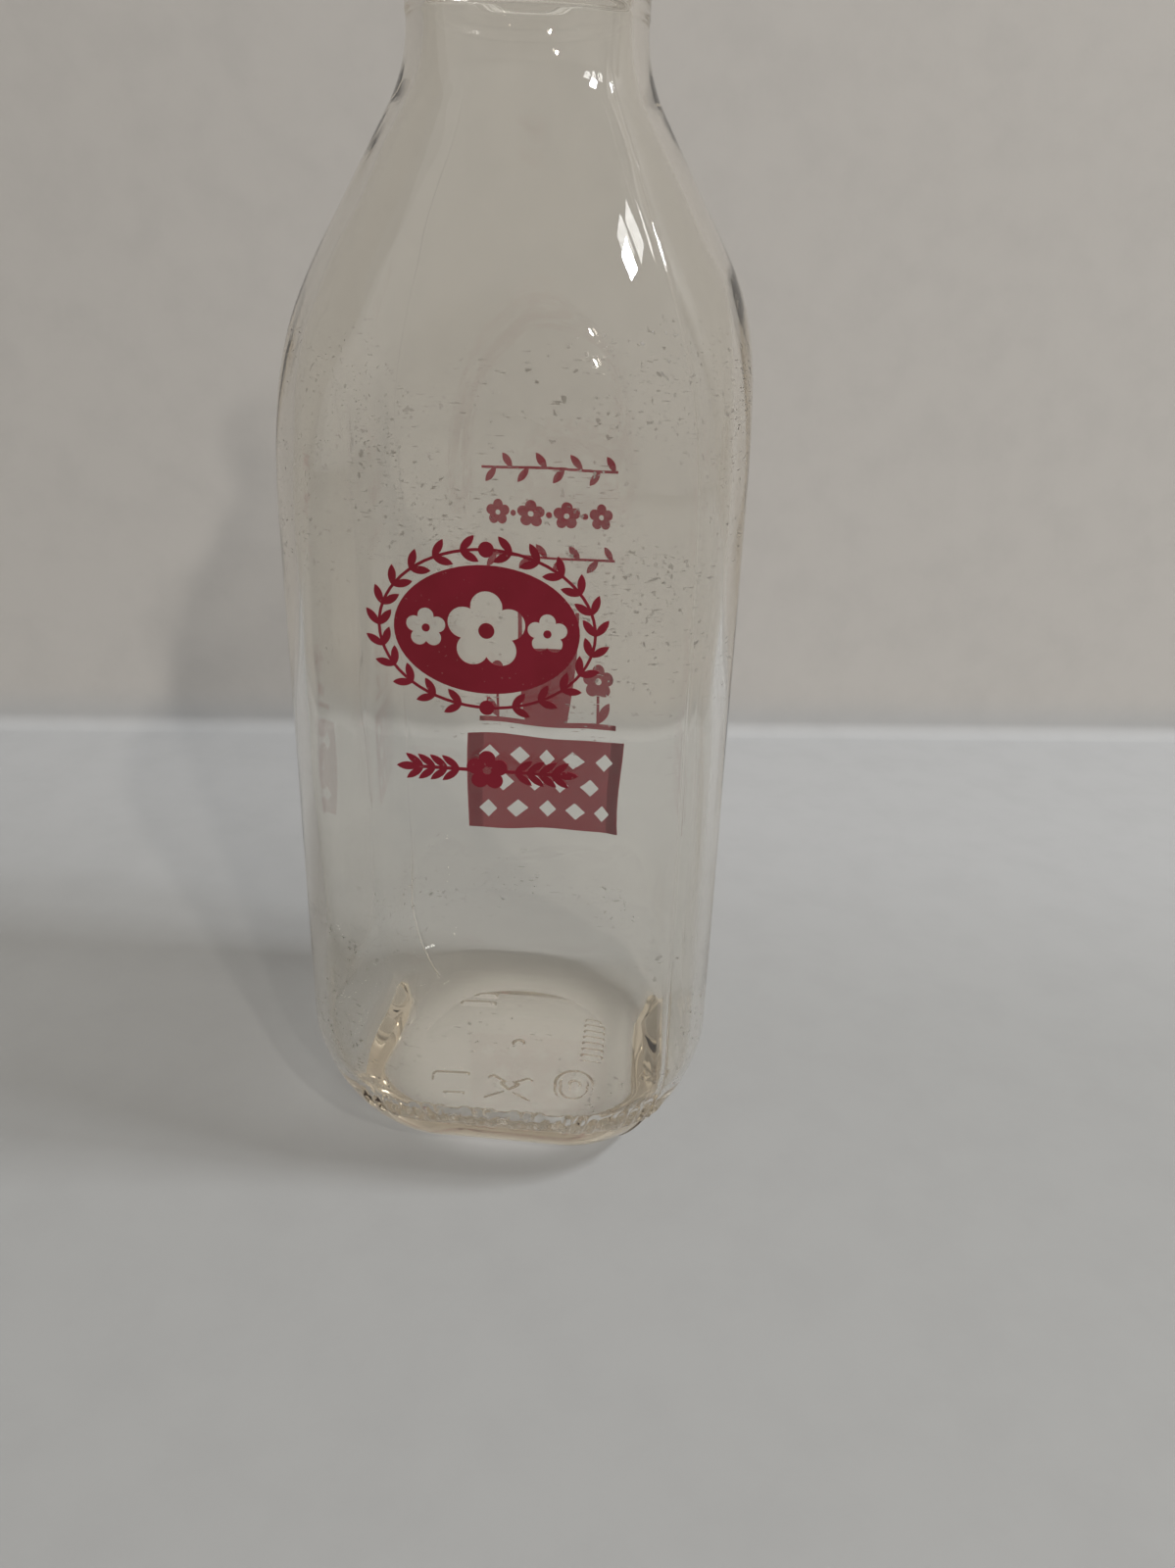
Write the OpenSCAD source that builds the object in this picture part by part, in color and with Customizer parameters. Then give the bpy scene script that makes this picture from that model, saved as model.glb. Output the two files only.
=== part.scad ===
// Square quart milk bottle: one blown glass piece with crimson enamel prints fired on two panels.
// Millimetres, +Z up. The origin is the centre of the base, and the front panel faces -Y.

/* [Body] */
// Width across two opposite flat panels
body_w = 84; // [80:0.5:88]
// Radius of the four upright corners
corner_r = 26.5; // [25:0.5:28]
// Height of the rounded heel
heel_h = 28; // [26:1:30]
// How far the heel draws in, from a panel to the foot
heel_inset = 17; // [16:0.5:18]
// Thickness of the glass wall, measured level
wall = 2.9; // [2.6:0.1:3.2]
// Height of the inside floor above the foot
floor_t = 11.5; // [11:0.5:13]

/* [Shoulder] */
// Height at which the upright corners start to lean in
shoulder_z = 111; // [108:1:114]
// Radius of the long convex curve of the shoulder
shoulder_r = 136; // [130:1:142]
// Slope of the shoulder cone, from the vertical
cone_angle = 30; // [28:0.5:32]
// Radius of the hollow curve from the shoulder cone into the neck
neck_curve_r = 25; // [20:1:30]
// How softly the flat panels fade into the round shoulder
panel_fade = 5; // [3:0.5:6]

/* [Neck and finish] */
// Outside diameter of the neck
neck_d = 40.8; // [40.4:0.1:41.2]
// Overall height
height = 228; // [227:0.5:230]
// Outside diameter of the lip bead
lip_d = 48; // [47.5:0.1:49]
// Height of the lip bead
lip_h = 10.4; // [10:0.1:10.8]
// Edge radius over the top of the lip bead
lip_round = 2.4; // [1.8:0.1:2.6]
// Edge radius under the lip bead
lip_under = 4; // [3:0.1:5]
// Diameter of the cap seat, which takes a 41.3 mm paper disc
seat_d = 41.7; // [41.5:0.1:42]
// Depth of the cap seat below the lip
seat_depth = 4.6; // [4:0.1:5]

/* [Foot] */
// Radius of the pushed-up hollow under the base
push_up_r = 22.8; // [22:0.1:23]
// Depth of that hollow at its middle
push_up_h = 1.8; // [1.4:0.1:2.4]

/* [Enamel prints] */
// Thickness of a fired enamel layer
enamel_t = 0.15; // [0.1:0.05:0.3]
// Height of the centre of the front medallion
medallion_z = 119.6; // [118:0.1:121]
// Width of the front medallion over its border
medallion_w = 40.6; // [38:0.2:41]
// Height of the front medallion over its border
medallion_h = 31.4; // [29:0.2:32]
// Height of the centre line of the sprig under the medallion
sprig_z = 94.4; // [92:0.2:96]
// Length of the sprig
sprig_w = 32; // [28:0.5:34]
// Heights of the three garlands on the rear panel
garland_z = [133.4, 123.2, 113];
// Width of a garland
garland_w = 32; // [28:0.5:34]
// Height of the centre of the rear picture
tumbler_z = 86.5; // [85:0.5:88]
// Height of the drinking glass in the rear picture
tumbler_h = 27; // [24:0.5:28]
// Height of the centre of the solid panel at the foot of the rear print
banner_z = 55.9; // [54:0.1:57]
// Width of that solid panel
banner_w = 39; // [36:0.5:40]
// Height of that solid panel
banner_h = 25.4; // [23:0.2:26]

/* [Hidden] */
$fn = 96;

glass = [0.78, 0.84, 0.84, 0.45];
crimson = [0.62, 0.06, 0.13];

eps = 0.01;
panel = body_w / 2;
heel_power = 1.55;        // superellipse power of the outer heel
corner_steps = 10;        // ring points along each upright corner
flat_steps = 4;           // ring points along each flat panel
heel_steps = 7;
curve_steps = 14;
neck_steps = 6;

// The cavity follows the outside at the wall thickness, with its own tighter heel
cavity_heel_h = 16;
cavity_heel_inset = 8;
cavity_heel_power = 1.8;
cavity_heel_steps = 6;
cavity_heel_dip = 0.6;    // how far the curve of that heel would run on below the floor
foot_follow = 0.8;        // how much of a heel's inset its corner radius loses: at the foot
floor_follow = 0.25;      // and at the floor of the cavity, which is rounder
throat_d = neck_d - 2 * wall;

// The neck-ring mould closes on the body mould here, and leaves a fine step and a raised seam
mould_step = 0.1;
seam_z = 216.6;
seam_r = 0.55;
neck_r = neck_d / 2 - mould_step;

// ---- Round shoulder profile: cylinder, convex arc, cone, hollow arc, neck ----
corner_reach = (panel - corner_r) * sqrt(2) + corner_r;
round_r = corner_reach + panel_fade;
cone_top_r = neck_r + neck_curve_r * (1 - cos(cone_angle));
cone_foot_r = round_r - shoulder_r * (1 - cos(cone_angle));
cone_foot_z = shoulder_z + shoulder_r * sin(cone_angle);
cone_top_z = cone_foot_z + (cone_foot_r - cone_top_r) / tan(cone_angle);
neck_z = cone_top_z + neck_curve_r * sin(cone_angle);
lip_z = height - lip_h;
loft_overlap = 2;         // how far the lofted body runs up inside the turned neck

// Height and outer radius of each ring of the shoulder
shoulder_rings = concat(
    [for (i = [0 : curve_steps]) let (a = cone_angle * i / curve_steps)
        [shoulder_z + shoulder_r * sin(a), round_r - shoulder_r * (1 - cos(a))]],
    [for (i = [0 : neck_steps]) let (a = cone_angle * (1 - i / neck_steps))
        [neck_z - neck_curve_r * sin(a), neck_r + neck_curve_r * (1 - cos(a))]],
    [[neck_z + loft_overlap, neck_r]]);

// Outline of a square with round corners, given its half width and its corner radius
function rounded_square(half, corner) = let (c = half - corner) [
    for (q = [0 : 3]) let (along = [cos(90 * q), sin(90 * q)], side = [-sin(90 * q), cos(90 * q)])
        each concat(
            [for (i = [0 : corner_steps]) let (a = 90 * (q + i / corner_steps))
                (along + side) * c + corner * [cos(a), sin(a)]],
            [for (j = [1 : flat_steps - 1]) side * half + along * c * (1 - 2 * j / flat_steps)])];

// The smaller of two lengths, eased over a distance k where they are close
function soft_min(a, b, k) = min(a, b) - pow(max(k - abs(a - b), 0), 2) / (4 * k);

// One ring at height z: the rounded square, drawn in to the round profile's radius
function ring(z, half, corner, round_limit) =
    [for (p = rounded_square(half, corner))
        let (q = p * soft_min(norm(p), round_limit, panel_fade) / norm(p)) [q.x, q.y, z]];

// How far a heel has drawn in at height z above its foot
function heel_in(z, h, inset, power) = inset * (1 - pow(1 - pow((h - z) / h, power), 1 / power));

// Heights of the rings of a heel, closest together where it starts
function heel_heights(from, h, steps) = [for (i = [0 : steps]) h - (h - from) * cos(90 * i / steps)];

outer_rings = concat(
    [for (z = heel_heights(0, heel_h, heel_steps)) let (d = heel_in(z, heel_h, heel_inset, heel_power))
        ring(z, panel - d, corner_r - d * foot_follow, round_r)],
    [for (s = shoulder_rings) ring(s[0], panel, corner_r, s[1])]);

cavity_rings = concat(
    [for (z = heel_heights(cavity_heel_dip, cavity_heel_h, cavity_heel_steps))
        let (d = heel_in(z, cavity_heel_h, cavity_heel_inset, cavity_heel_power))
            ring(floor_t - cavity_heel_dip + z, panel - wall - d, corner_r - wall - d * floor_follow,
                round_r)],
    [for (s = shoulder_rings) ring(s[0], panel - wall, corner_r - wall, s[1] - wall)]);

// Solid skinned over a stack of rings that have the same number of points, closed by a fan at each end
module skin(rings) {
    n = len(rings[0]);
    last = len(rings) - 1;
    foot_hub = n * len(rings);
    top_hub = foot_hub + 1;
    polyhedron(
        points = concat([for (r = rings) each r],
            [[0, 0, rings[0][0].z], [0, 0, rings[last][0].z]]),
        faces = concat(
            [for (i = [0 : n - 1]) [foot_hub, i, (i + 1) % n]],
            [for (k = [0 : last - 1], i = [0 : n - 1]) let (j = (i + 1) % n)
                [k * n + i, (k + 1) * n + i, (k + 1) * n + j, k * n + j]],
            [for (i = [0 : n - 1]) [top_hub, last * n + (i + 1) % n, last * n + i]]));
}

// Turned upper neck with its mould seam and the rolled lip bead
module finish() {
    neck_foot = neck_z + loft_overlap / 2;
    under_z = lip_z + lip_under;
    over_z = height - lip_round;
    rotate_extrude() {
        translate([0, neck_foot]) square([neck_d / 2, height - neck_foot]);
        translate([neck_d / 2, seam_z]) circle(r = seam_r);
        translate([0, under_z]) square([lip_d / 2, over_z - under_z]);
        translate([0, lip_z]) square([lip_d / 2 - lip_under, lip_under + eps]);
        translate([0, over_z - eps]) square([lip_d / 2 - lip_round, lip_round + eps]);
        translate([lip_d / 2 - lip_under, under_z]) circle(r = lip_under);
        translate([lip_d / 2 - lip_round, over_z]) circle(r = lip_round);
    }
}

// Throat bore, the step that carries the cap and the cap seat above it
module mouth() {
    seat_z = height - seat_depth;
    edge = 0.4;
    translate([0, 0, neck_z + loft_overlap / 2])
        cylinder(d = throat_d, h = seat_z - neck_z);
    translate([0, 0, seat_z - edge])
        cylinder(d1 = throat_d, d2 = throat_d + 2 * edge, h = edge + eps);
    translate([0, 0, seat_z]) cylinder(d = seat_d, h = seat_depth + 1);
    translate([0, 0, height - edge])
        cylinder(d1 = seat_d, d2 = seat_d + 4 * edge, h = 2 * edge);
}

// Shallow dome, which leaves a flat bearing ring round the foot
module push_up() {
    dome_r = (pow(push_up_r, 2) + pow(push_up_h, 2)) / (2 * push_up_h);
    rotate_extrude() intersection() {
        translate([0, -1]) square([2 * push_up_r, push_up_h + 2]);
        translate([0, push_up_h - dome_r]) circle(r = dome_r);
    }
}

module glass_bottle() {
    color(glass) difference() {
        union() {
            skin(outer_rings);
            finish();
        }
        skin(cavity_rings);
        mouth();
        push_up();
    }
}

// ---- Enamel prints: a flat motif wrapped onto the straight part of the panels ----

// Thin sleeve that hugs the body between two heights
module enamel_sleeve(z0, z1) {
    translate([0, 0, z0]) linear_extrude(z1 - z0) difference() {
        polygon(rounded_square(panel + enamel_t, corner_r + enamel_t));
        polygon(rounded_square(panel, corner_r));
    }
}

// Lays a motif, drawn as it is read, on the front panel or on the rear one
module fired_on(rear = false) {
    color(crimson) intersection() {
        rotate([90, 0, rear ? 180 : 0]) linear_extrude(panel + 1) children();
        enamel_sleeve(heel_h, shoulder_rings[6][0]);
    }
}

// Ellipse of a given width and height
module oval(w, h, steps = 64) {
    polygon([for (i = [0 : steps - 1]) let (a = 360 * i / steps) [w / 2 * cos(a), h / 2 * sin(a)]]);
}

// Pointed leaf of a given length and width, from its foot at the origin along +X
module leaf(length, width) {
    r = (pow(length / 2, 2) + pow(width / 2, 2)) / width;
    intersection() {
        translate([length / 2, width / 2 - r]) circle(r = r);
        translate([length / 2, r - width / 2]) circle(r = r);
    }
}

// Open flower with round petals and a button at its heart
module blossom(d, petals = 5) {
    petal_d = d * 0.4;
    difference() {
        union() {
            circle(d = d * 0.5);
            for (i = [0 : petals - 1]) rotate(90 + 360 * i / petals)
                translate([(d - petal_d) / 2, 0]) circle(d = petal_d);
        }
        circle(d = d * 0.2);
    }
}

// Thin line between two ovals
module oval_line(w, h, line) {
    difference() {
        oval(w, h);
        oval(w - 2 * line, h - 2 * line);
    }
}

// Distances of the medallion's rings from its outer edge
wreath_in = 1.9;          // to the stem of the wreath
field_in = 4.7;           // to the solid field

// Solid field, with one large blossom and two small ones left clear
module front_medallion() {
    centre_d = 13.4;
    side_d = 6.8;
    side_x = 10.2;
    fired_on() translate([0, medallion_z]) difference() {
        oval(medallion_w - 2 * field_in, medallion_h - 2 * field_in);
        blossom(centre_d);
        for (s = [-1, 1]) translate([s * side_x, 0]) blossom(side_d);
    }
}

// Laurel wreath that rises from the foot of the medallion on both sides, with a bud top and bottom
module front_medallion_border() {
    stem_w = medallion_w - 2 * wreath_in;
    stem_h = medallion_h - 2 * wreath_in;
    stem_line = 0.5;
    mid_w = (stem_w - stem_line) / 2;
    mid_h = (stem_h - stem_line) / 2;
    pairs = 11;
    end_gap = 0.9;            // from a bud to the nearest pair of leaves, in pitches
    leaf_l = 3.5;
    leaf_w = 1.35;
    leaf_lean = 38;
    bud_d = 2.6;
    fired_on() translate([0, medallion_z]) {
        oval_line(stem_w, stem_h, stem_line);
        for (s = [-1, 1], i = [0 : pairs - 1])
            let (a = -90 + 180 * (i + end_gap) / (pairs - 1 + 2 * end_gap),
                heading = atan2(stem_h * cos(a), -stem_w * sin(a)))
                translate([s * mid_w * cos(a), mid_h * sin(a)]) mirror([s < 0 ? 1 : 0, 0])
                    for (t = [-1, 1]) rotate(heading + leaf_lean * t) leaf(leaf_l, leaf_w);
        for (s = [-1, 1]) translate([0, s * mid_h]) circle(d = bud_d);
    }
}

// Ear of grain along +X
module grain_ear(length, pairs = 4) {
    grain_l = 3.9;
    grain_w = 1.3;
    tip_w = 1.5;
    grain_lean = 37;
    first_at = 0.2;           // share of the stem below the first grains
    last_at = 0.9;
    stem_w = 0.6;
    reach = length - grain_l;
    translate([0, -stem_w / 2]) square([reach + 1, stem_w]);
    for (i = [0 : pairs - 1], t = [-1, 1])
        translate([reach * (first_at + (last_at - first_at) * i / (pairs - 1)), 0])
            rotate(grain_lean * t) leaf(grain_l, grain_w);
    translate([reach, 0]) leaf(grain_l, tip_w);
}

// Blossom with an ear of grain at each side
module front_sprig() {
    blossom_d = 7.4;
    ear_x = 3;
    fired_on() translate([0, sprig_z]) {
        blossom(blossom_d);
        for (m = [0, 1]) mirror([m, 0]) translate([ear_x, 0]) grain_ear(sprig_w / 2 - ear_x);
    }
}

// Vine with a leaf every pitch, above and below it in turn
module vine(length, leaves) {
    stem_w = 0.6;
    leaf_l = 4.1;
    leaf_w = 1.7;
    leaf_lean = 52;
    end_gap = 0.15;           // from the end of the stem to the first leaf, in pitches
    pitch = length / leaves;
    square([length, stem_w], center = true);
    for (i = [0 : leaves - 1]) translate([(i - leaves / 2 + end_gap) * pitch, 0])
        rotate(i % 2 == 0 ? leaf_lean : -leaf_lean) leaf(leaf_l, leaf_w);
}

// Row of flowers with a dot between each two
module flower_row(length, flowers) {
    flower_d = 6.2;
    dot_d = 1.4;
    pitch = length / flowers;
    for (i = [0 : flowers - 1]) translate([(i - (flowers - 1) / 2) * pitch, 0]) blossom(flower_d);
    for (i = [1 : flowers - 1]) translate([(i - flowers / 2) * pitch, 0]) circle(d = dot_d, $fn = 24);
}

module rear_garlands() {
    fired_on(rear = true) {
        for (z = [garland_z[0], garland_z[2]]) translate([0, z]) vine(garland_w, 8);
        translate([0, garland_z[1]]) flower_row(garland_w, 4);
    }
}

// Tapered slice of a drinking glass between two fractions of its height
module glass_side(inset, from, to) {
    top_w = 15;
    foot_w = 11;
    half = function(t) (foot_w + (top_w - foot_w) * t) / 2 - inset;
    polygon([[-half(from), from * tumbler_h], [half(from), from * tumbler_h],
        [half(to), to * tumbler_h], [-half(to), to * tumbler_h]]);
}

// Drinking glass, two thirds full, on a tray with a flower at each side
module rear_tumbler() {
    rim_w = 0.9;
    level = 0.66;             // how full the glass is, as a share of its height
    tray_w = 34;
    tray_h = 1.3;
    flower_x = 12.4;
    flower_y = 10.6;
    flower_d = 8.4;
    stalk_w = 0.7;
    stalk_h = 8;
    leaf_l = 6.2;
    leaf_w = 2.2;
    leaf_lean = 62;
    fired_on(rear = true) translate([0, tumbler_z - tumbler_h / 2]) {
        difference() {
            glass_side(0, 0, 1);
            glass_side(rim_w, level, 1 + level);
        }
        translate([-tray_w / 2, -tray_h + eps]) square([tray_w, tray_h]);
        for (s = [-1, 1]) translate([s * flower_x, 0]) {
            translate([-stalk_w / 2, 0]) square([stalk_w, stalk_h]);
            translate([0, flower_y]) blossom(flower_d);
            rotate(s > 0 ? leaf_lean : 180 - leaf_lean) leaf(leaf_l, leaf_w);
        }
    }
}

// Solid panel with rows of lozenges left clear, five and four in turn
module rear_banner() {
    lozenge = 3.4;
    pitch = 7.2;
    fired_on(rear = true) translate([0, banner_z]) difference() {
        square([banner_w, banner_h], center = true);
        for (row = [-1 : 1]) let (count = row == 0 ? 4 : 5)
            for (i = [0 : count - 1]) translate([(i - (count - 1) / 2) * pitch, row * pitch])
                rotate(45) square(lozenge, center = true);
    }
}

glass_bottle();
front_medallion();
front_medallion_border();
front_sprig();
rear_garlands();
rear_tumbler();
rear_banner();
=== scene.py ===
"""Looks of the square quart milk bottle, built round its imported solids.

Metres, +Z up, with the origin at the centre of the base. The panel with the medallion faces -Y.
"""

import math

import bmesh
import bpy
import numpy as np
from mathutils import Matrix, Vector

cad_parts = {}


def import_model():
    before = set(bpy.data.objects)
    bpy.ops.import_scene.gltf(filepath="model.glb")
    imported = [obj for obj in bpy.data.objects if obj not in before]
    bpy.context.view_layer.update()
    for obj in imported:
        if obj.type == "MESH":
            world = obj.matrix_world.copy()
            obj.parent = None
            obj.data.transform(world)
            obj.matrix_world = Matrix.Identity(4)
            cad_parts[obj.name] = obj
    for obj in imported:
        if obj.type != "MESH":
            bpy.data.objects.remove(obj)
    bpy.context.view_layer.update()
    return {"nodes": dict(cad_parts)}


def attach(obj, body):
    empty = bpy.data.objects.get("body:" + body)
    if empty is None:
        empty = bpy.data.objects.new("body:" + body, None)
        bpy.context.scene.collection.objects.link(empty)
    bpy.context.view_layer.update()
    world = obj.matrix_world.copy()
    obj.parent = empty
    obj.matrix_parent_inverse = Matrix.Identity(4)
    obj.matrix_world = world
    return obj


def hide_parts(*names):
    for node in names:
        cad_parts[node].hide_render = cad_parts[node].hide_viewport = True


MM = 0.001

# ---- Sizes of the glass, in millimetres ----
PANEL = 42.0  # half the width across the flat panels
CORNER_R = 26.5
HEEL_H = 28.0
HEEL_INSET = 17.0
HEEL_POWER = 1.55
WALL = 2.9
FLOOR_T = 11.5
CAVITY_HEEL_H = 16.0
CAVITY_HEEL_INSET = 8.0
CAVITY_HEEL_POWER = 1.8
SHOULDER_Z = 111.0
SHOULDER_R = 136.0
CONE = math.radians(30)
NECK_CURVE_R = 25.0
PANEL_FADE = 5.0
NECK_R = 20.4
MOULD_STEP = 0.1
SEAM_Z = 216.6
SEAM_R = 0.55
HEIGHT = 228.0
LIP_R = 24.0
LIP_H = 10.4
LIP_ROUND = 2.4
LIP_UNDER = 4.0
SEAT_R = 20.85
SEAT_DEPTH = 4.6
THROAT_R = NECK_R - WALL
PUSH_UP_R = 22.8
PUSH_UP_H = 1.8
FOOT_FOLLOW = 0.8
FLOOR_FOLLOW = 0.25
FLOOR_DIP = 0.6
PRINT_GAP = 0.02  # clear of the enamel by this much, so that its inner face is lit from outside the glass

# Steps round each upright corner and along each panel, and extra ones close to the mould seam
CORNER_STEPS = 26
FLAT_STEPS = 14
SEAM_CLUSTER = (0.15, 0.3, 0.5, 0.8)
FINE = 3  # the base and the heel, up to FINE_TO, have this many times as many points round them
FINE_TO = 21.0
NO_LIMIT = 1000.0  # a round form so wide that it leaves the square as it is


# ---- Profile of the bottle ----
def round_profile():
    """Heights and radii of the round form that the square body runs into."""
    reach = (PANEL - CORNER_R) * math.sqrt(2) + CORNER_R + PANEL_FADE
    neck_r = NECK_R - MOULD_STEP
    cone_foot_r = reach - SHOULDER_R * (1 - math.cos(CONE))
    cone_top_r = neck_r + NECK_CURVE_R * (1 - math.cos(CONE))
    cone_foot_z = SHOULDER_Z + SHOULDER_R * math.sin(CONE)
    cone_top_z = cone_foot_z + (cone_foot_r - cone_top_r) / math.tan(CONE)
    neck_z = cone_top_z + NECK_CURVE_R * math.sin(CONE)
    rings = [(SHOULDER_Z + SHOULDER_R * math.sin(a), reach - SHOULDER_R * (1 - math.cos(a)))
             for a in np.linspace(0, CONE, 36)]
    rings += [(cone_foot_z + t * (cone_top_z - cone_foot_z), cone_foot_r + t * (cone_top_r - cone_foot_r))
              for t in np.linspace(0, 1, 10)[1:]]
    rings += [(neck_z - NECK_CURVE_R * math.sin(a), neck_r + NECK_CURVE_R * (1 - math.cos(a)))
              for a in np.linspace(CONE, 0, 14)[1:]]
    return reach, neck_z, rings


def rounded_square(half, corner, fine=1):
    """Outline of a square with round corners, counter-clockwise from +X.

    Two opposite corners have extra points close to their middle, where the mould seams stand.
    """
    centre = half - corner
    seam = [s * d / CORNER_R for d in SEAM_CLUSTER for s in (-1, 1)]
    points = []
    for quarter in range(4):
        turn = quarter * math.pi / 2
        angles = list(np.linspace(0, math.pi / 2, CORNER_STEPS + 1))
        if quarter in (1, 3):
            angles = sorted(angles + [math.pi / 4 + s for s in seam])
        steps = (len(angles) - 1) * fine
        angles = np.interp(np.arange(steps + 1) / fine, np.arange(len(angles)), angles)
        along = np.array([math.cos(turn), math.sin(turn)])
        side = np.array([-along[1], along[0]])
        points += [(along + side) * centre + corner * np.array([math.cos(turn + a), math.sin(turn + a)])
                   for a in angles]
        count = FLAT_STEPS * fine
        points += [side * half + along * centre * (1 - 2 * j / count) for j in range(1, count)]
    return np.array(points)


def soft_min(a, b, ease):
    """The smaller of two lengths, eased where they are close."""
    return np.minimum(a, b) - np.maximum(ease - np.abs(a - b), 0) ** 2 / (4 * ease)


def body_ring(z, half, corner, limit, fine=1):
    flat = rounded_square(half, corner, fine)
    length = np.linalg.norm(flat, axis=1)
    flat = flat * (soft_min(length, limit, PANEL_FADE) / length)[:, None]
    return np.column_stack([flat, np.full(len(flat), z)])


def round_ring(z, radius, fine=1):
    flat = rounded_square(PANEL, CORNER_R, fine)
    flat = flat * (radius / np.linalg.norm(flat, axis=1))[:, None]
    return np.column_stack([flat, np.full(len(flat), z)])


def arc(centre_z, centre_r, radius, start, end, steps):
    """Round rings along an arc of the profile, by degrees from the level outward direction."""
    angles = [math.radians(a) for a in np.linspace(start, end, steps + 1)]
    return [round_ring(centre_z + radius * math.sin(a), centre_r + radius * math.cos(a)) for a in angles]


def heel_rings(foot_z, height, inset, power, wall, follow, dip, steps, fine_to=-1.0):
    """Rings of a heel that draws in below the upright panels."""
    rings = []
    start = math.acos((1 - dip / height) ** (power / 2))
    for a in np.linspace(start, math.pi / 2, steps + 1):
        z = foot_z - dip + height * (1 - math.cos(a) ** (2 / power))
        drawn = inset * (1 - math.sin(a) ** (2 / power))
        corner = CORNER_R - wall - drawn * follow
        rings.append(body_ring(z, PANEL - wall - drawn, corner, NO_LIMIT, FINE if z < fine_to else 1))
    return rings


def blended(a, b, shares):
    return [a * (1 - t) + b * t for t in shares]


def outside_rings():
    """Rings of the outer face, from the middle of the base up to the lip."""
    reach, neck_z, shoulder = round_profile()
    dome_r = (PUSH_UP_R**2 + PUSH_UP_H**2) / (2 * PUSH_UP_H)
    rings = [round_ring(PUSH_UP_H - dome_r + math.sqrt(dome_r**2 - r**2), r, FINE)
             for r in np.linspace(0.4, PUSH_UP_R - 0.3, 56)]
    foot = body_ring(0, PANEL - HEEL_INSET, CORNER_R - HEEL_INSET * FOOT_FOLLOW, NO_LIMIT, FINE)
    rings += blended(round_ring(0, PUSH_UP_R + 0.2, FINE), foot, (0, 0.5))
    rings += heel_rings(0, HEEL_H, HEEL_INSET, HEEL_POWER, 0, FOOT_FOLLOW, 0, 44, FINE_TO)
    rings += [body_ring(z, PANEL, CORNER_R, reach) for z in np.linspace(HEEL_H, SHOULDER_Z, 22)[1:-1]]
    rings += [body_ring(z, PANEL, CORNER_R, r) for z, r in shoulder]
    rings += [round_ring(neck_z + 0.9, NECK_R - MOULD_STEP), round_ring(neck_z + 1.1, NECK_R)]
    rings += [round_ring(z, NECK_R) for z in np.linspace(neck_z + 1.1, SEAM_Z - SEAM_R - 0.35, 5)[1:]]
    rings += arc(SEAM_Z, NECK_R, SEAM_R, -78, 78, 8)
    under_z = HEIGHT - LIP_H + LIP_UNDER
    rings += [round_ring(SEAM_Z + SEAM_R + 0.2, NECK_R)]
    rings += arc(under_z, LIP_R - LIP_UNDER, LIP_UNDER, -78, 0, 12)
    rings += [round_ring(z, LIP_R) for z in (under_z + 1.3, under_z + 2.7)]
    rings += arc(HEIGHT - LIP_ROUND, LIP_R - LIP_ROUND, LIP_ROUND, 0, 90, 10)
    return rings


def inside_rings():
    """Rings of the inner face, from the lip down to the middle of the floor."""
    reach, neck_z, shoulder = round_profile()
    edge = 0.5
    rings = arc(HEIGHT - edge, SEAT_R + edge, edge, 90, 180, 5)
    seat_z = HEIGHT - SEAT_DEPTH
    rings += [round_ring(z, SEAT_R) for z in np.linspace(HEIGHT - edge, seat_z + 0.3, 5)[1:]]
    rings += arc(seat_z + 0.3, SEAT_R - 0.3, 0.3, 0, -90, 4)[1:]
    rings += [round_ring(seat_z, SEAT_R - 1.5)]
    rings += arc(seat_z - 0.6, THROAT_R + 0.6, 0.6, 90, 180, 5)
    rings += [round_ring(z, THROAT_R) for z in np.linspace(seat_z - 0.6, neck_z + 1, 8)[1:]]
    rings += [body_ring(z, PANEL - WALL, CORNER_R - WALL, r - WALL) for z, r in reversed(shoulder)]
    straight = np.linspace(SHOULDER_Z, FLOOR_T + CAVITY_HEEL_H - FLOOR_DIP, 26)[1:-1]
    rings += [body_ring(z, PANEL - WALL, CORNER_R - WALL, reach - WALL) for z in straight]
    heel = heel_rings(FLOOR_T, CAVITY_HEEL_H, CAVITY_HEEL_INSET, CAVITY_HEEL_POWER, WALL,
                      FLOOR_FOLLOW, FLOOR_DIP, 24)
    rings += heel[::-1]
    middle = round_ring(FLOOR_T, 0.6)
    rings += blended(heel[0], middle, np.linspace(0, 1, 17)[1:])
    return rings


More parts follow.
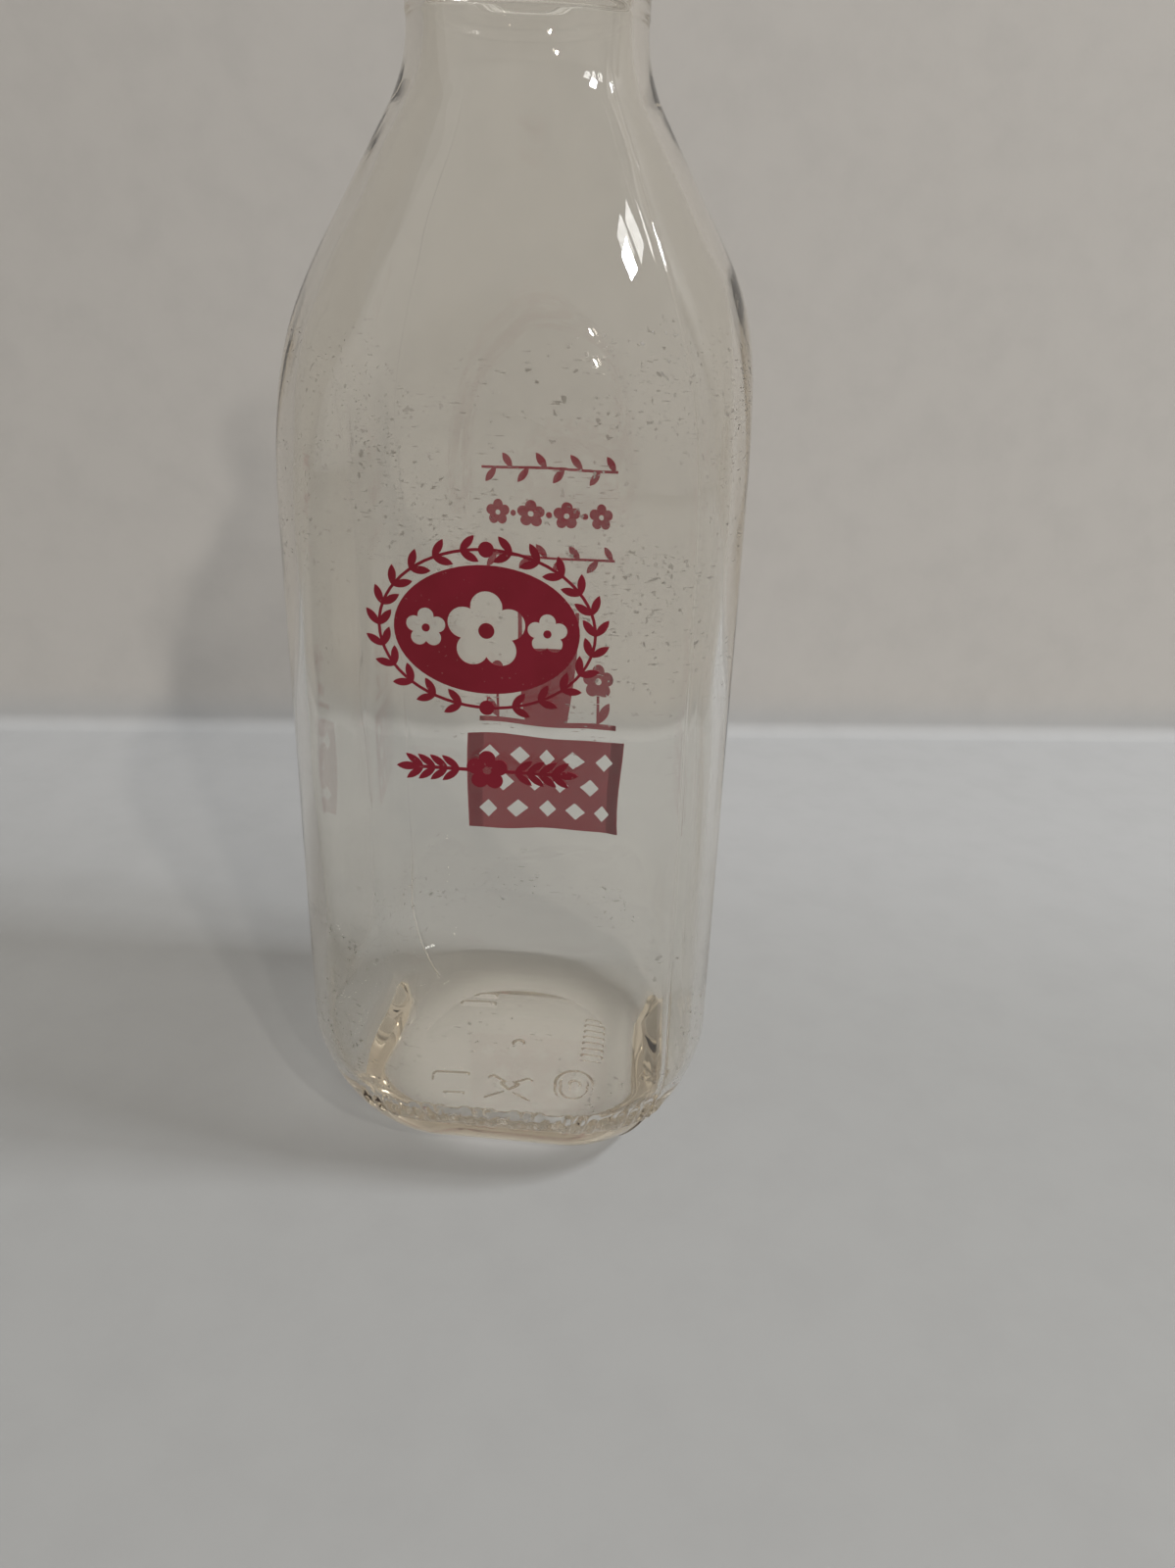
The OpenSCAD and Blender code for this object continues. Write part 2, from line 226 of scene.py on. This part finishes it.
def ring_mesh(name, rings, inner_from):
    """Closed mesh over a stack of rings, with a pole at each end and an attribute for the inner face."""
    starts = np.cumsum([0] + [len(r) for r in rings])
    points = np.vstack(rings + [[[0, 0, rings[0][0][2]]], [[0, 0, rings[-1][0][2]]]])
    low, high = len(points) - 2, len(points) - 1
    faces = [(low, (i + 1) % len(rings[0]), i) for i in range(len(rings[0]))]
    for k, (lower, upper) in enumerate(zip(rings, rings[1:])):
        count, times = len(upper), len(lower) // len(upper)
        for i in range(count):
            under = [starts[k] + (i * times + t) % len(lower) for t in range(times + 1)]
            faces.append((*under, starts[k + 1] + (i + 1) % count, starts[k + 1] + i))
    last = len(rings[-1])
    faces += [(high, starts[-2] + i, starts[-2] + (i + 1) % last) for i in range(last)]
    points[:, 1] *= 1 - PRINT_GAP / PANEL  # the prints are on the front and the rear panel
    mesh = bpy.data.meshes.new(name)
    mesh.from_pydata((points * MM).tolist(), [], [[int(v) for v in face] for face in faces])
    inner = np.zeros(len(points), np.float32)
    inner[starts[inner_from]:low] = 1
    inner[high] = 1
    mesh.attributes.new("inner_face", "FLOAT", "POINT").data.foreach_set("value", inner)
    work = bmesh.new()
    work.from_mesh(mesh)
    bmesh.ops.recalc_face_normals(work, faces=work.faces)
    work.to_mesh(mesh)
    work.free()
    mesh.polygons.foreach_set("use_smooth", [True] * len(mesh.polygons))
    mesh.update()
    return mesh


# ---- Node maths ----
class Val:
    """A socket of a node tree. The operators on it add Math nodes."""

    def __init__(self, net, socket):
        self.net, self.socket = net, socket

    def _math(self, operation, *values):
        return self.net.add("ShaderNodeMath", {"operation": operation}, list(values))

    def __add__(self, other):
        return self._math("ADD", self, other)

    def __sub__(self, other):
        return self._math("SUBTRACT", self, other)

    def __rsub__(self, other):
        return self._math("SUBTRACT", other, self)

    def __mul__(self, other):
        return self._math("MULTIPLY", self, other)

    def __truediv__(self, other):
        return self._math("DIVIDE", self, other)

    def __pow__(self, other):
        return self._math("POWER", self, other)

    def __abs__(self):
        return self._math("ABSOLUTE", self)

    def __neg__(self):
        return self._math("MULTIPLY", self, -1.0)

    __radd__ = __add__
    __rmul__ = __mul__

    def most(self, other):
        return self._math("MAXIMUM", self, other)

    def repeat(self, pitch):
        """Distance to the nearest multiple of pitch."""
        return self._math("PINGPONG", self, pitch / 2)

    def sqrt(self):
        return self._math("SQRT", self)

    def angle(self, other):
        return self._math("ARCTAN2", self, other)

    def step(self, low, high):
        """0 below low, 1 above high, eased between them."""
        return self.net.add("ShaderNodeMapRange", {"interpolation_type": "SMOOTHSTEP"},
                            {"Value": self, "From Min": low, "From Max": high})

    def near(self, centre, reach, ease):
        """1 within reach of centre, eased to 0 outside it."""
        return 1 - abs(self - centre).step(reach, reach + ease)


class Net:
    """A node tree that is filled by expressions."""

    def __init__(self, tree):
        self.tree = tree

    def add(self, kind, settings=None, sockets=None, out=0):
        """Adds a node, sets it up, gives its sockets values or links, and returns one output."""
        node = self.tree.nodes.new(kind)
        for name, value in (settings or {}).items():
            setattr(node, name, value)
        pairs = sockets.items() if isinstance(sockets, dict) else enumerate(sockets or [])
        for name, value in pairs:
            if isinstance(value, Val):
                self.tree.links.new(value.socket, node.inputs[name])
            else:
                node.inputs[name].default_value = value
        return Val(self, node.outputs[out])

    def outputs(self, value, *names):
        return [Val(self, value.socket.node.outputs[n]) for n in names]

    def xyz(self, vector):
        return self.outputs(self.add("ShaderNodeSeparateXYZ", None, [vector]), "X", "Y", "Z")

    def vector(self, x, y, z):
        return self.add("ShaderNodeCombineXYZ", None, [x, y, z])

    def noise(self, where, scale, detail=2.0, rough=0.5):
        return self.add("ShaderNodeTexNoise", None,
                        {"Vector": where, "Scale": scale, "Detail": detail, "Roughness": rough})

    def blend(self, share, low, high):
        """Colour between two, by share."""
        node = self.tree.nodes.new("ShaderNodeMix")
        node.data_type = "RGBA"
        for index, value in ((0, share), (6, low), (7, high)):
            if isinstance(value, Val):
                self.tree.links.new(value.socket, node.inputs[index])
            else:
                node.inputs[index].default_value = value if index == 0 else (*value, 1)
        return Val(self, node.outputs[2])


# ---- Marks that the mould leaves in the glass ----
HEEL_ROW_Z = 15.6  # height of the row of ribs and pellets
HEEL_ROW_R = 38.0  # radius by which angles round the heel turn into lengths
BASE_BARS = (  # middle and half length
    ((-13.6, -12.4), 3.5),
    ((-13.6, -17.2), 3.3),
    ((-12.0, 18.4), 3.2),
    ((-12.0, 14.6), 3.4),
)
BAR_HALF_WIDTH = 0.2
CROSS_HALF_LENGTH = 4.6
WHEEL_AT = (14.2, -12.2)
WHEEL_R = 3.6
MOULD_SIZES = {
    "Seam Height": 0.3,
    "Seam Width": 0.55,
    "Heel Height": 0.6,
    "Mark Depth": 0.9,
    "Mark Ease": 0.8,
    "Rib Pitch": 2.4,
    "Inner Wave": 0.6,
}


def bar(u, v, middle, half_length, ease):
    """A straight mark that runs along u, 1 in its middle."""
    return u.near(middle[0], half_length, ease) * v.near(middle[1], BAR_HALF_WIDTH, ease)


def mould_marks(material):
    """Geometry Nodes tree that raises seams and ribs, sinks the base marks and lets the wall wander."""
    tree = bpy.data.node_groups.new("mould_marks", "GeometryNodeTree")
    tree.interface.new_socket("Geometry", in_out="INPUT", socket_type="NodeSocketGeometry")
    for name, size in MOULD_SIZES.items():
        tree.interface.new_socket(name, in_out="INPUT", socket_type="NodeSocketFloat").default_value = size
    tree.interface.new_socket("Geometry", in_out="OUTPUT", socket_type="NodeSocketGeometry")
    net = Net(tree)
    given = net.add("NodeGroupInput")
    size = dict(zip(MOULD_SIZES, net.outputs(given, *MOULD_SIZES)))
    ease = size["Mark Ease"]

    place = net.add("GeometryNodeInputPosition")
    x, y, z = (v * 1000 for v in net.xyz(place))
    inner = net.add("GeometryNodeInputNamedAttribute", {"data_type": "FLOAT"}, {"Name": "inner_face"})
    outer = 1 - inner
    around = (x * x + y * y).sqrt()

    # The two halves of the mould meet on two opposite corners, and the seam stands highest at the heel
    off_seam = abs(x + y) * math.sqrt(0.5)
    seam = (1 - off_seam.step(0.1, size["Seam Width"])) * z.step(1.5, 4) * (1 - z.step(214, 216))
    seam = seam * around.step(20, 22) * (1 - z.step(16, 50) * 0.7)
    raised = seam * size["Seam Height"]

    # Row of upright ribs and pellets round the front of the heel
    turn = y.angle(x) * HEEL_ROW_R
    group = turn.repeat(size["Rib Pitch"] * 4)
    ribs = (1 - turn.repeat(size["Rib Pitch"]).step(0.3, 0.8)) * group.step(1.6, 2.1)
    ribs = ribs * z.near(HEEL_ROW_Z, 2.4, 0.7)
    off_pellet = (group * group + (z - HEEL_ROW_Z) ** 2.0).sqrt()
    front = y.angle(x).near(-math.pi / 2 + 0.1, 0.74, 0.05)
    raised = raised + ribs.most(off_pellet.near(1.4, 0.25, 0.5)) * front * size["Heel Height"]

    # Marks sunk into the domed base: a middle dot, bars, a leaning cross, a ring with a hub, and rungs
    marks = 1 - around.step(0.7, 1.6)
    for middle, half_length in BASE_BARS:
        marks = marks.most(bar(x, y, middle, half_length, ease))
    lean, rise = (x + y * 1.5 + 22.8) * 0.555, (x - y * 1.5 - 22.8) * 0.555
    for u, v in ((lean, rise), (rise, lean)):
        marks = marks.most(bar(u, v, (0, 0), CROSS_HALF_LENGTH, ease))
    off_hub = ((x - WHEEL_AT[0]) ** 2.0 + (y - WHEEL_AT[1]) ** 2.0).sqrt()
    marks = marks.most(off_hub.near(WHEEL_R, 0.15, ease)).most(1 - off_hub.step(0.8, 1.5))
    rungs = 1 - y.repeat(size["Rib Pitch"]).step(0.15, 0.95)
    marks = marks.most(rungs * x.near(17.2, 2.3, 0.5) * y.near(4.0, 8.0, 0.6))
    plate = (1 - around.step(21.6, 22.4)) * (1 - z.step(5.0, 5.6))
    raised = raised - marks * plate * size["Mark Depth"]

    # The wall is never quite even, most of all inside
    slow = net.noise(net.vector(x, y, z * 0.6), 0.03, 1.0) - 0.5
    fine = net.noise(net.vector(x, y, z * 0.5), 0.11, 0.0) - 0.5
    calm = (1 - z.step(196, 214)) * (0.25 + z.step(14, 45) * 0.75)
    wander = (slow + fine * 0.35) * calm * size["Inner Wave"]
    raised = raised * outer + wander * inner

    offset = net.add("ShaderNodeVectorMath", {"operation": "SCALE"},
                     {0: net.add("GeometryNodeInputNormal"), "Scale": raised * MM})
    moved = net.add("GeometryNodeSetPosition", None, {"Geometry": given, "Offset": offset})
    solid = net.add("GeometryNodeRealizeInstances", None, {"Geometry": moved})
    painted = net.add("GeometryNodeSetMaterial", None, {"Geometry": solid, "Material": material})
    done = tree.nodes.new("NodeGroupOutput")
    tree.links.new(painted.socket, done.inputs[0])
    return tree


def applied(name, source, tree):
    """Plain mesh object from a mesh that a Geometry Nodes tree has worked on."""
    holder = bpy.data.objects.new(name + "_source", source)
    bpy.context.scene.collection.objects.link(holder)
    holder.modifiers.new(tree.name, "NODES").node_group = tree
    bpy.context.view_layer.update()
    evaluated = holder.evaluated_get(bpy.context.evaluated_depsgraph_get())
    mesh = bpy.data.meshes.new_from_object(evaluated)
    holder.modifiers.clear()
    bpy.data.objects.remove(holder)
    for attribute in [a for a in mesh.attributes if a.name == "inner_face"]:
        mesh.attributes.remove(attribute)
    mesh.name = name
    piece = bpy.data.objects.new(name, mesh)
    bpy.context.scene.collection.objects.link(piece)
    return piece


# ---- Materials ----
def new_material(name):
    material = bpy.data.materials.new(name)
    material.use_nodes = True
    material.node_tree.nodes.clear()
    net = Net(material.node_tree)
    return material, net, net.add("ShaderNodeTexCoord", None, None, "Object")


def finish_material(net, surface, volume=None):
    output = net.tree.nodes.new("ShaderNodeOutputMaterial")
    net.tree.links.new(surface.socket, output.inputs["Surface"])
    if volume:
        net.tree.links.new(volume.socket, output.inputs["Volume"])


def clear_glass():
    """Clear bottle glass: faintly warm where it is thick, scuffed by crates at the shoulders and the heel."""
    material, net, place = new_material("clear_glass")
    x, y, z = (v * 1000 for v in net.xyz(place))
    around = (x * x + y * y).sqrt()
    outside = around.step(41.2, 41.7)

    # Specks and short scratches, in patches where bottles rub in a crate
    patch = net.noise(place, 42).step(0.42, 0.62)
    specks = net.noise(place, 620, 2.0, 0.55).step(0.66, 0.71)
    dashes = net.noise(net.vector(x * 0.4, y * 0.4, z * 2.4), 1.0, 1.0, 0.5).step(0.70, 0.75)
    shoulder_rub, heel_rub = z.near(140, 30, 25), z.near(38, 16, 12)
    wear = specks.most(dashes) * patch * shoulder_rub.most(heel_rub * 0.8) * outside
    surface = net.add("ShaderNodeBsdfPrincipled", None, {
        "Base Color": net.blend(wear, (0.960, 0.950, 0.92), (0.35, 0.33, 0.30)),
        "Roughness": wear * 0.4,
        "IOR": 1.51,
        "Transmission Weight": 1.0,
    })

    # Lamps shine through, less at the edges, and light that is caught in the thick base
    # gets out after six surfaces
    seen_by_lamps = net.add("ShaderNodeLightPath", None, None, "Is Shadow Ray")
    caught = net.add("ShaderNodeLightPath", None, None, "Ray Depth").step(5, 6) * (1 - z.step(24, 36))
    edge = net.add("ShaderNodeLayerWeight", None, {"Blend": 0.35}, "Facing")
    clear = net.add("ShaderNodeBsdfTransparent", None, {"Color": (0.98, 0.975, 0.965, 1)})
    held_back = (edge * 0.75 + 0.06) * z.step(14, 34).most(around.step(27, 33))
    let_through = (seen_by_lamps * (1 - held_back)).most(caught)
    lit = net.add("ShaderNodeMixShader", None, [let_through, surface, clear])
    depth = net.add("ShaderNodeVolumeAbsorption", None, {"Color": (0.77, 0.69, 0.55, 1), "Density": 20.0})
    finish_material(net, lit, depth)
    return material


def crimson_enamel():
    """Fired crimson enamel: dense, satin, with a faint grain and a few pinholes."""
    material, net, place = new_material("crimson_enamel")
    broad = net.noise(place, 90, 3.0, 0.55)
    grain = net.noise(place, 900, 2.0, 0.6)
    tone = net.blend(broad.step(0.3, 0.7), (0.165, 0.0045, 0.014), (0.195, 0.0065, 0.020))
    # Painted light: the faces that lie on the glass, seen through it, are painted a lighter crimson to make
    # up for the light that the glass holds back from them
    facing = net.xyz(net.add("ShaderNodeTexCoord", None, None, "Normal"))[1]
    outer_face = (facing * net.xyz(place)[1]).step(-0.01, 0.01)
    tone = net.blend(outer_face, (0.30, 0.012, 0.030), tone)
    pits = net.noise(place, 1500, 1.0, 0.5).step(0.72, 0.78)
    surface = net.add("ShaderNodeBsdfPrincipled", None, {
        "Base Color": net.blend(pits * 0.6, tone, (0.25, 0.1, 0.1)),
        "Roughness": 0.34 + grain * 0.16,
        "Specular IOR Level": 0.3,
        "Normal": net.add("ShaderNodeBump", None, {"Strength": 0.25, "Distance": 0.00004, "Height": grain}),
    })
    finish_material(net, surface)
    return material


def sheet_white():
    """Pale matt sheet with painted shade in front of the bottle and a painted pool of light round its base,
    clear to the camera from its far side so that every side of the bottle can be seen.
    """
    material, net, place = new_material("sheet_white")
    grain = net.noise(place, 60, 4.0, 0.6)
    x, y, up = net.xyz(place)
    # Painted shade: the floor is darker in front of the bottle and lighter behind it
    floor = net.blend(y.step(0.0, 0.16), (0.330, 0.333, 0.330), (0.405, 0.411, 0.415))
    off_bottle = (x * x + y * y).sqrt().step(0.020, 0.036)
    floor = net.blend(off_bottle, (0.59, 0.60, 0.61), floor)  # painted pool of light, lighter where the base gathers light
    sheet = net.blend(up.step(0.0, 0.02), floor, (0.475, 0.458, 0.435))
    surface = net.add("ShaderNodeBsdfPrincipled", None, {
        "Base Color": net.blend(grain.step(0.35, 0.75) * 0.08, sheet, (0.2, 0.2, 0.2)),
        "Roughness": 0.7,
        "Normal": net.add("ShaderNodeBump", None, {"Strength": 0.2, "Distance": 0.0005, "Height": grain}),
    })
    far_side = net.add("ShaderNodeNewGeometry", None, None, "Backfacing")
    looked_at = net.add("ShaderNodeLightPath", None, None, "Is Camera Ray")
    clear = net.add("ShaderNodeBsdfTransparent")
    finish_material(net, net.add("ShaderNodeMixShader", None, [far_side * looked_at, surface, clear]))
    return material


# ---- Stage, lamps and camera ----
# Millimetres and radians
WALL_LEFT = (-237.7, 185.5)
WALL_RIGHT = (239.7, 256.0)
SHEET_DROP = 0.15  # the sheet lies this far under the foot, so that the two never share a plane
SHEET_BEND = 6.0
SHEET_SPREAD = 3000.0
LAMP_AIM = (0, 0, 110)
LAMP_REACH = 2200
CAMERA_AT = (33.683, -228.426, 175.945)
CAMERA_LENS = 27.045
CAMERA_HEADING = math.radians(4.922)
CAMERA_TILT = 0.4168  # below the level
CAMERA_ROLL = 0.0322


def backdrop(material):
    """Floor sheet that turns up into the wall behind the bottle, and goes on behind that wall."""
    left, right = Vector((*WALL_LEFT, 0)), Vector((*WALL_RIGHT, 0))
    along = (right - left).normalized()
    towards = Vector((along.y, -along.x, 0))
    middle = (left + right) / 2
    profile = [(d, -SHEET_DROP) for d in (SHEET_SPREAD, 1000, 300, 100)]
    profile += [(SHEET_BEND * (1 - math.sin(a)), SHEET_BEND * (1 - math.cos(a)) - SHEET_DROP)
                for a in np.linspace(0, math.pi / 2, 9)]
    profile += [(0, 200), (0, 1000), (0, SHEET_SPREAD)]
    profile += [(-10, -SHEET_DROP), (-SHEET_SPREAD, -SHEET_DROP)]
    spots = [(middle + towards * d + along * s * SHEET_SPREAD + Vector((0, 0, h))) * MM
             for d, h in profile for s in (-1, 1)]
    wall_top = len(profile) - 3
    strips = [(2 * i, 2 * i + 1, 2 * i + 3, 2 * i + 2) for i in range(len(profile) - 1) if i != wall_top]
    mesh = bpy.data.meshes.new("backdrop")
    mesh.from_pydata([spot[:] for spot in spots], [], strips)
    mesh.polygons.foreach_set("use_smooth", [True] * len(mesh.polygons))
    mesh.materials.append(material)
    piece = bpy.data.objects.new("backdrop", mesh)
    bpy.context.scene.collection.objects.link(piece)


def lamp(name, azimuth, elevation, size, watts, colour):
    """Lamp that is aimed at the middle of the bottle, by its direction in degrees and its size in metres."""
    turn, rise = math.radians(azimuth), math.radians(elevation)
    towards = Vector((math.cos(rise) * math.cos(turn), math.cos(rise) * math.sin(turn), math.sin(rise)))
    light = bpy.data.lights.new(name, "AREA")
    light.shape, light.size, light.size_y = "RECTANGLE", *size
    light.energy, light.color = watts, colour
    holder = bpy.data.objects.new(name, light)
    holder.location = (Vector(LAMP_AIM) + towards * LAMP_REACH) * MM
    holder.rotation_euler = towards.to_track_quat("Z", "Y").to_euler()
    bpy.context.scene.collection.objects.link(holder)
    return holder


def studio():
    lamp("window", -10, 47.5, (0.19, 0.17), 9.0, (0.95, 0.97, 1.0))
    sky = lamp("sky", 0, 46, (0.24, 0.20), 20.0, (0.95, 0.97, 1.0))
    sky.visible_glossy = False  # it draws the soft shadow and leaves the highlights to the others
    lamp("upper_bulb", -54, 38, (0.06, 0.08), 8.0, (1.0, 0.93, 0.84))
    lamp("lower_bulb", -61, 27, (0.06, 0.08), 8.0, (1.0, 0.93, 0.84))
    world = bpy.data.worlds.new("room")
    world.use_nodes = True
    world.node_tree.nodes.clear()
    net = Net(world.node_tree)
    along, up = net.xyz(net.add("ShaderNodeTexCoord", None, None, "Generated"))[1:]
    ceiling = net.blend(up.step(-0.1, 0.8), (0.50, 0.49, 0.48), (0.66, 0.645, 0.62))

    # The room is darker low in front, which only the reflections show
    looked_at = net.add("ShaderNodeLightPath", None, None, "Is Camera Ray")
    looked_at = looked_at.most(net.add("ShaderNodeLightPath", None, None, "Is Transmission Ray"))
    dim = (-along).step(0.55, 0.95) * (1 - up.step(0.5, 0.8)) * (1 - looked_at)
    room = net.add("ShaderNodeBackground", None, {"Color": net.blend(dim, ceiling, (0.2, 0.195, 0.19))})
    output = world.node_tree.nodes.new("ShaderNodeOutputWorld")
    world.node_tree.links.new(room.socket, output.inputs["Surface"])
    bpy.context.scene.world = world


def aim_camera():
    camera = bpy.data.cameras.new("camera")
    camera.lens, camera.sensor_width, camera.sensor_fit = CAMERA_LENS, 36, "AUTO"
    camera.clip_start = 0.01
    holder = bpy.data.objects.new("camera", camera)
    turn = (Matrix.Rotation(CAMERA_HEADING, 4, "Z") @ Matrix.Rotation(math.pi / 2 - CAMERA_TILT, 4, "X")
            @ Matrix.Rotation(CAMERA_ROLL, 4, "Z"))
    holder.matrix_world = Matrix.Translation(Vector(CAMERA_AT) * MM) @ turn
    bpy.context.scene.collection.objects.link(holder)
    bpy.context.scene.camera = holder


def main():
    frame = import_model()
    bpy.context.scene.view_settings.view_transform = "Standard"

    outside, inside = outside_rings(), inside_rings()
    shell = ring_mesh("glass_shell", outside + inside, len(outside))
    glass = applied("clear_bottle", shell, mould_marks(clear_glass()))
    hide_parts("glass_bottle")
    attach(glass, "root")
    glass.visible_diffuse = False  # light through the wall comes by the lamp share of its material

    enamel = crimson_enamel()
    for name, node in frame["nodes"].items():
        if name != "glass_bottle":
            node.data.materials.clear()
            node.data.materials.append(enamel)

    backdrop(sheet_white())
    studio()
    light_paths = bpy.context.scene.cycles
    light_paths.max_bounces, light_paths.transparent_max_bounces = 32, 24
    light_paths.glossy_bounces = light_paths.transmission_bounces = 24
    aim_camera()


main()
